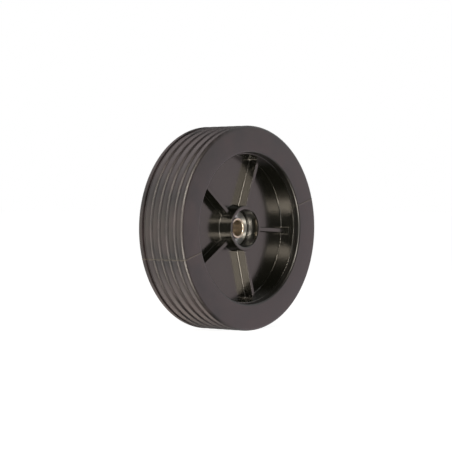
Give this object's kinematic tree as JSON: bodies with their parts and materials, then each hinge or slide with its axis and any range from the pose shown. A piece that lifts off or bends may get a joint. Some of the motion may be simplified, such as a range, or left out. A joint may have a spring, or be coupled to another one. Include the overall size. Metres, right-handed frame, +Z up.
{
  "type": "nylon wheel",
  "caption": "Black nylon wheel with a ribbed solid tyre, spoked web and pressed ball bearings set deep in the hub for a plain axle.",
  "frame": {"origin": "wheel's centre, on the axle line midway between the sidewalls", "axes": "+Y along the axle towards the machine side, +Z up; the face with the deep hub recess looks along -Y"},
  "size_m": [0.2, 0.057, 0.2],
  "materials": {
    "tyre_rubber": "matt moulded rubber",
    "nylon": "semi-gloss moulded nylon",
    "zinc_plate": "bright zinc plate on pressed sheet",
    "race_steel": "turned steel",
    "ball_steel": "polished"
  },
  "bodies": {
    "axle_sleeve": {"front_inner_race": "race_steel", "spacer_tube": "race_steel", "rear_inner_race": "race_steel"},
    "wheel": {"tyre": "tyre_rubber", "rim": "nylon", "front_bearing_shell": "zinc_plate", "rear_bearing_shell": "zinc_plate", "front_closing_ring": "zinc_plate", "rear_closing_ring": "zinc_plate"},
    "front_ball_set": {"front_balls": "ball_steel"},
    "rear_ball_set": {"rear_balls": "ball_steel"}
  },
  "joints": [
    {"name": "wheel_spin", "type": "hinge", "parent": "axle_sleeve", "child": "wheel", "pos_m": [0, 0, 0], "axis": [0, 1, 0], "continuous": true},
    {"name": "front_ball_orbit", "type": "hinge", "parent": "axle_sleeve", "child": "front_ball_set", "pos_m": [0, 0, 0], "axis": [0, 1, 0], "continuous": true},
    {"name": "rear_ball_orbit", "type": "hinge", "parent": "axle_sleeve", "child": "rear_ball_set", "pos_m": [0, 0, 0], "axis": [0, 1, 0], "continuous": true}
  ],
  "couplings": [
    {"joint": "front_ball_orbit", "follows": "wheel_spin", "ratio": 0.60917},
    {"joint": "rear_ball_orbit", "follows": "wheel_spin", "ratio": 0.60917}
  ]
}
